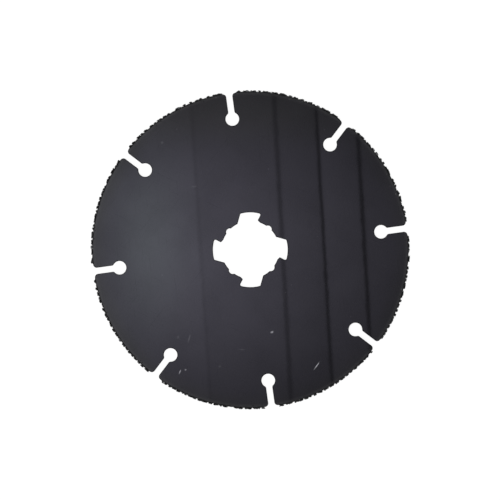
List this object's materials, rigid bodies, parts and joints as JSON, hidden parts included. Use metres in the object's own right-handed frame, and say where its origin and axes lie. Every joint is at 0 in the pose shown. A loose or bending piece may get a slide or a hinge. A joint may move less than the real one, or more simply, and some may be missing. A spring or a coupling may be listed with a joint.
{
  "type": "grit-rimmed cutting disc",
  "caption": "Thin flat black steel disc with a four-lobed arbor hole, keyhole slots and a rim of brazed carbide grit, for cutting and shaping wood on an angle grinder.",
  "frame": {"origin": "centre of the arbor hole, at half the plate's thickness", "axes": "+Z along the spindle axis, out of the face that the picture shows; +X through one lobe of the arbor hole"},
  "size_m": [0.1248, 0.125, 0.0018],
  "materials": {
    "black_coat": "satin black coat",
    "dark_braze": "dull dark braze",
    "dark_carbide": "rough dark grains"
  },
  "bodies": {
    "root": {"steel_blank": "black_coat", "braze_bead_1": "dark_braze", "braze_bead_2": "dark_braze", "braze_bead_3": "dark_braze", "braze_bead_4": "dark_braze", "braze_bead_5": "dark_braze", "braze_bead_6": "dark_braze", "braze_bead_7": "dark_braze", "braze_bead_8": "dark_braze", "carbide_grit_1": "dark_carbide", "carbide_grit_2": "dark_carbide", "carbide_grit_3": "dark_carbide", "carbide_grit_4": "dark_carbide", "carbide_grit_5": "dark_carbide", "carbide_grit_6": "dark_carbide", "carbide_grit_7": "dark_carbide", "carbide_grit_8": "dark_carbide"}
  },
  "joints": []
}
